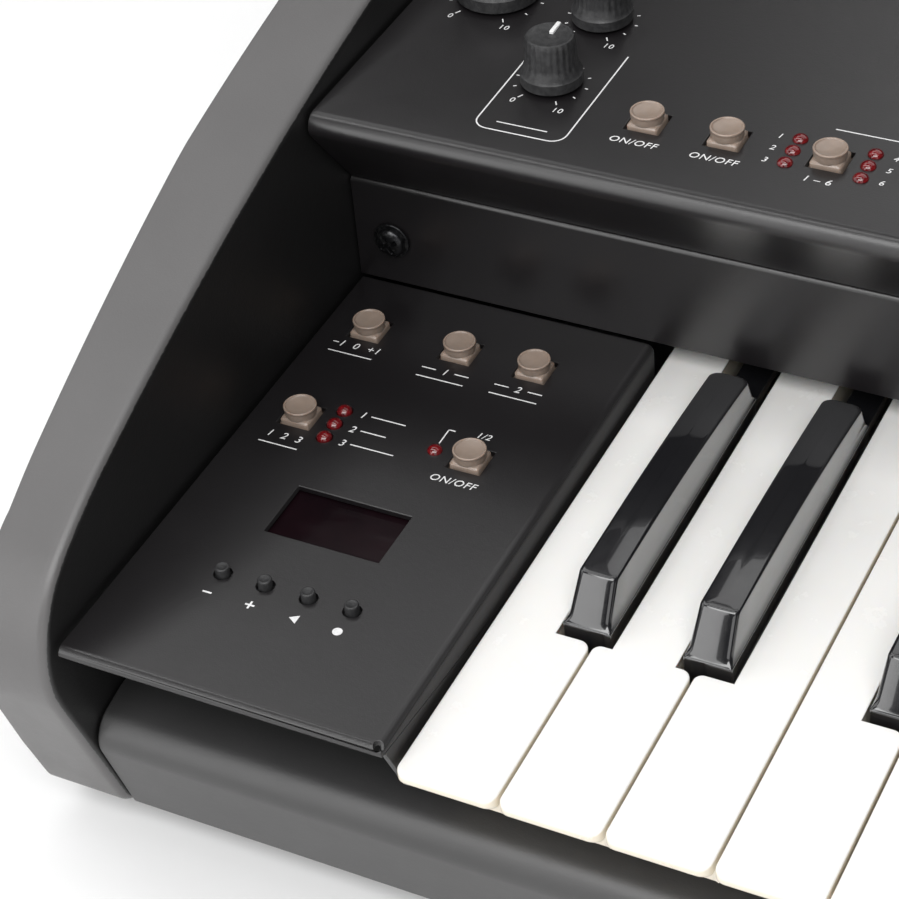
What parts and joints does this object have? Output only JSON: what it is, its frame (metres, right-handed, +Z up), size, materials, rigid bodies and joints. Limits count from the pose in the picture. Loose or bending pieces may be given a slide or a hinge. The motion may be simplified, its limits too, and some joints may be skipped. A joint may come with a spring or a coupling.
{
  "type": "spinet organ",
  "caption": "Compact one-manual electronic organ with end cheeks, a control block beside the keys and a level panel with drawbars, knobs and buttons.",
  "frame": {"origin": "middle of the case's outline, on the surface that the feet stand on", "axes": "+X to the player's right, +Y away from the player, +Z up"},
  "size_m": [1.052, 0.3314, 0.1569],
  "materials": {
    "cheek_paint": "satin dark grey with a fine texture",
    "case_paint": "fine-textured satin black",
    "rail_paint": "satin black",
    "ivory_white": "smooth white",
    "glossy_black": "glossy black",
    "taupe_plastic": "warm translucent taupe",
    "dark_plastic": "fine matt",
    "lamp_red": "deep red, clear",
    "display_glass": "very dark red-black, polished",
    "zinc_steel": "zinc plated",
    "supply_alloy": "plain plated module",
    "screw_steel": "black oxide",
    "board_green": "solder mask",
    "drawbar_brown": "smooth brown",
    "drawbar_white": "smooth white",
    "drawbar_black": "smooth black",
    "foot_rubber": "matt"
  },
  "bodies": {
    "case": {"left_cheek": "cheek_paint", "right_cheek": "cheek_paint", "base_tray": "zinc_steel", "front_rail": "rail_paint", "rear_panel": "case_paint", "top_panel": "case_paint", "key_fascia": "case_paint", "fascia_screw_left": "screw_steel", "fascia_screw_right": "screw_steel", "foot_front_left": "foot_rubber", "foot_front_right": "foot_rubber", "foot_rear_left": "foot_rubber", "foot_rear_right": "foot_rubber", "left_block_cover": "case_paint", "right_block_cover": "case_paint", "left_switch_board": "board_green", "display_window": "display_glass", "organ_type_lamps": "lamp_red", "panel_guide_board": "board_green", "key_chassis": "zinc_steel", "upper_naturals": "ivory_white", "upper_sharps": "glossy_black", "main_board": "board_green", "power_supply": "supply_alloy"},
    "lower_octave_button": {"lower_octave_button": "taupe_plastic"},
    "lower_preset_a_button": {"lower_preset_a_button": "taupe_plastic"},
    "lower_preset_b_button": {"lower_preset_b_button": "taupe_plastic"},
    "organ_type_button": {"organ_type_button": "taupe_plastic"},
    "pedals_button": {"pedals_button": "taupe_plastic"},
    "minus_button": {"minus_button": "dark_plastic"},
    "plus_button": {"plus_button": "dark_plastic"},
    "back_button": {"back_button": "dark_plastic"},
    "enter_button": {"enter_button": "dark_plastic"},
    "vibrato_upper_button": {"vibrato_upper_button": "taupe_plastic"},
    "vibrato_lower_button": {"vibrato_lower_button": "taupe_plastic"},
    "vibrato_type_button": {"vibrato_type_button": "taupe_plastic"},
    "volume_knob": {"volume_knob": "dark_plastic"},
    "drive_knob": {"drive_knob": "dark_plastic"},
    "tone_knob": {"tone_knob": "dark_plastic"},
    "drawbar_1": {"drawbar_1": "drawbar_brown"},
    "drawbar_2": {"drawbar_2": "drawbar_brown"},
    "drawbar_3": {"drawbar_3": "drawbar_white"},
    "drawbar_4": {"drawbar_4": "drawbar_white"},
    "drawbar_5": {"drawbar_5": "drawbar_black"},
    "drawbar_6": {"drawbar_6": "drawbar_white"},
    "drawbar_7": {"drawbar_7": "drawbar_black"},
    "drawbar_8": {"drawbar_8": "drawbar_black"},
    "drawbar_9": {"drawbar_9": "drawbar_white"},
    "key_c": {"key_c": "ivory_white"},
    "key_c_sharp": {"key_c_sharp": "glossy_black"},
    "key_d": {"key_d": "ivory_white"},
    "key_d_sharp": {"key_d_sharp": "glossy_black"},
    "key_e": {"key_e": "ivory_white"},
    "key_f": {"key_f": "ivory_white"},
    "key_f_sharp": {"key_f_sharp": "glossy_black"},
    "key_g": {"key_g": "ivory_white"},
    "key_g_sharp": {"key_g_sharp": "glossy_black"},
    "key_a": {"key_a": "ivory_white"},
    "key_a_sharp": {"key_a_sharp": "glossy_black"},
    "key_b": {"key_b": "ivory_white"}
  },
  "joints": [
    {"name": "lower_octave_press", "type": "slide", "parent": "case", "child": "lower_octave_button", "axis": [0, 0, -1], "range_m": [0, 0.0012], "stiffness_N_per_m": 400, "springref_m": -0.002},
    {"name": "lower_preset_a_press", "type": "slide", "parent": "case", "child": "lower_preset_a_button", "axis": [0, 0, -1], "range_m": [0, 0.0012], "stiffness_N_per_m": 400, "springref_m": -0.002},
    {"name": "lower_preset_b_press", "type": "slide", "parent": "case", "child": "lower_preset_b_button", "axis": [0, 0, -1], "range_m": [0, 0.0012], "stiffness_N_per_m": 400, "springref_m": -0.002},
    {"name": "organ_type_press", "type": "slide", "parent": "case", "child": "organ_type_button", "axis": [0, 0, -1], "range_m": [0, 0.0012], "stiffness_N_per_m": 400, "springref_m": -0.002},
    {"name": "pedals_press", "type": "slide", "parent": "case", "child": "pedals_button", "axis": [0, 0, -1], "range_m": [0, 0.0012], "stiffness_N_per_m": 400, "springref_m": -0.002},
    {"name": "minus_press", "type": "slide", "parent": "case", "child": "minus_button", "axis": [0, 0, -1], "range_m": [0, 0.0012], "stiffness_N_per_m": 400, "springref_m": -0.002},
    {"name": "plus_press", "type": "slide", "parent": "case", "child": "plus_button", "axis": [0, 0, -1], "range_m": [0, 0.0012], "stiffness_N_per_m": 400, "springref_m": -0.002},
    {"name": "back_press", "type": "slide", "parent": "case", "child": "back_button", "axis": [0, 0, -1], "range_m": [0, 0.0012], "stiffness_N_per_m": 400, "springref_m": -0.002},
    {"name": "enter_press", "type": "slide", "parent": "case", "child": "enter_button", "axis": [0, 0, -1], "range_m": [0, 0.0012], "stiffness_N_per_m": 400, "springref_m": -0.002},
    {"name": "vibrato_upper_press", "type": "slide", "parent": "case", "child": "vibrato_upper_button", "axis": [0, 0, -1], "range_m": [0, 0.0012], "stiffness_N_per_m": 400, "springref_m": -0.002},
    {"name": "vibrato_lower_press", "type": "slide", "parent": "case", "child": "vibrato_lower_button", "axis": [0, 0, -1], "range_m": [0, 0.0012], "stiffness_N_per_m": 400, "springref_m": -0.002},
    {"name": "vibrato_type_press", "type": "slide", "parent": "case", "child": "vibrato_type_button", "axis": [0, 0, -1], "range_m": [0, 0.0012], "stiffness_N_per_m": 400, "springref_m": -0.002},
    {"name": "volume_turn", "type": "hinge", "parent": "case", "child": "volume_knob", "pos_m": [-0.484, 0.02945, 0.1326], "axis": [0, 0, -1], "range_deg": [-150, 150]},
    {"name": "drive_turn", "type": "hinge", "parent": "case", "child": "drive_knob", "pos_m": [-0.4552, 0.02745, 0.1326], "axis": [0, 0, -1], "range_deg": [-150, 150]},
    {"name": "tone_turn", "type": "hinge", "parent": "case", "child": "tone_knob", "pos_m": [-0.4552, -0.00205, 0.1326], "axis": [0, 0, -1], "range_deg": [-150, 150]},
    {"name": "drawbar_1_pull", "type": "slide", "parent": "case", "child": "drawbar_1", "axis": [0, -1, 0], "range_m": [0, 0.038]},
    {"name": "drawbar_2_pull", "type": "slide", "parent": "case", "child": "drawbar_2", "axis": [0, -1, 0], "range_m": [0, 0.038]},
    {"name": "drawbar_3_pull", "type": "slide", "parent": "case", "child": "drawbar_3", "axis": [0, -1, 0], "range_m": [0, 0.038]},
    {"name": "drawbar_4_pull", "type": "slide", "parent": "case", "child": "drawbar_4", "axis": [0, -1, 0], "range_m": [0, 0.038]},
    {"name": "drawbar_5_pull", "type": "slide", "parent": "case", "child": "drawbar_5", "axis": [0, -1, 0], "range_m": [0, 0.038]},
    {"name": "drawbar_6_pull", "type": "slide", "parent": "case", "child": "drawbar_6", "axis": [0, -1, 0], "range_m": [0, 0.038]},
    {"name": "drawbar_7_pull", "type": "slide", "parent": "case", "child": "drawbar_7", "axis": [0, -1, 0], "range_m": [0, 0.038]},
    {"name": "drawbar_8_pull", "type": "slide", "parent": "case", "child": "drawbar_8", "axis": [0, -1, 0], "range_m": [0, 0.038]},
    {"name": "drawbar_9_pull", "type": "slide", "parent": "case", "child": "drawbar_9", "axis": [0, -1, 0], "range_m": [0, 0.038]},
    {"name": "key_c_press", "type": "hinge", "parent": "case", "child": "key_c", "pos_m": [-0.41125, 0.05545, 0.058], "axis": [1, 0, 0], "range_deg": [0, 2.65], "stiffness_Nm_per_rad": 1, "springref_deg": -11.46},
    {"name": "key_c_sharp_press", "type": "hinge", "parent": "case", "child": "key_c_sharp", "pos_m": [-0.40172, 0.05545, 0.058], "axis": [1, 0, 0], "range_deg": [0, 2.65], "stiffness_Nm_per_rad": 1, "springref_deg": -11.46},
    {"name": "key_d_press", "type": "hinge", "parent": "case", "child": "key_d", "pos_m": [-0.38775, 0.05545, 0.058], "axis": [1, 0, 0], "range_deg": [0, 2.65], "stiffness_Nm_per_rad": 1, "springref_deg": -11.46},
    {"name": "key_d_sharp_press", "type": "hinge", "parent": "case", "child": "key_d_sharp", "pos_m": [-0.37378, 0.05545, 0.058], "axis": [1, 0, 0], "range_deg": [0, 2.65], "stiffness_Nm_per_rad": 1, "springref_deg": -11.46},
    {"name": "key_e_press", "type": "hinge", "parent": "case", "child": "key_e", "pos_m": [-0.36425, 0.05545, 0.058], "axis": [1, 0, 0], "range_deg": [0, 2.65], "stiffness_Nm_per_rad": 1, "springref_deg": -11.46},
    {"name": "key_f_press", "type": "hinge", "parent": "case", "child": "key_f", "pos_m": [-0.34075, 0.05545, 0.058], "axis": [1, 0, 0], "range_deg": [0, 2.65], "stiffness_Nm_per_rad": 1, "springref_deg": -11.46},
    {"name": "key_f_sharp_press", "type": "hinge", "parent": "case", "child": "key_f_sharp", "pos_m": [-0.33233, 0.05545, 0.058], "axis": [1, 0, 0], "range_deg": [0, 2.65], "stiffness_Nm_per_rad": 1, "springref_deg": -11.46},
    {"name": "key_g_press", "type": "hinge", "parent": "case", "child": "key_g", "pos_m": [-0.31725, 0.05545, 0.058], "axis": [1, 0, 0], "range_deg": [0, 2.65], "stiffness_Nm_per_rad": 1, "springref_deg": -11.46},
    {"name": "key_g_sharp_press", "type": "hinge", "parent": "case", "child": "key_g_sharp", "pos_m": [-0.3055, 0.05545, 0.058], "axis": [1, 0, 0], "range_deg": [0, 2.65], "stiffness_Nm_per_rad": 1, "springref_deg": -11.46},
    {"name": "key_a_press", "type": "hinge", "parent": "case", "child": "key_a", "pos_m": [-0.29375, 0.05545, 0.058], "axis": [1, 0, 0], "range_deg": [0, 2.65], "stiffness_Nm_per_rad": 1, "springref_deg": -11.46},
    {"name": "key_a_sharp_press", "type": "hinge", "parent": "case", "child": "key_a_sharp", "pos_m": [-0.27868, 0.05545, 0.058], "axis": [1, 0, 0], "range_deg": [0, 2.65], "stiffness_Nm_per_rad": 1, "springref_deg": -11.46},
    {"name": "key_b_press", "type": "hinge", "parent": "case", "child": "key_b", "pos_m": [-0.27025, 0.05545, 0.058], "axis": [1, 0, 0], "range_deg": [0, 2.65], "stiffness_Nm_per_rad": 1, "springref_deg": -11.46}
  ]
}
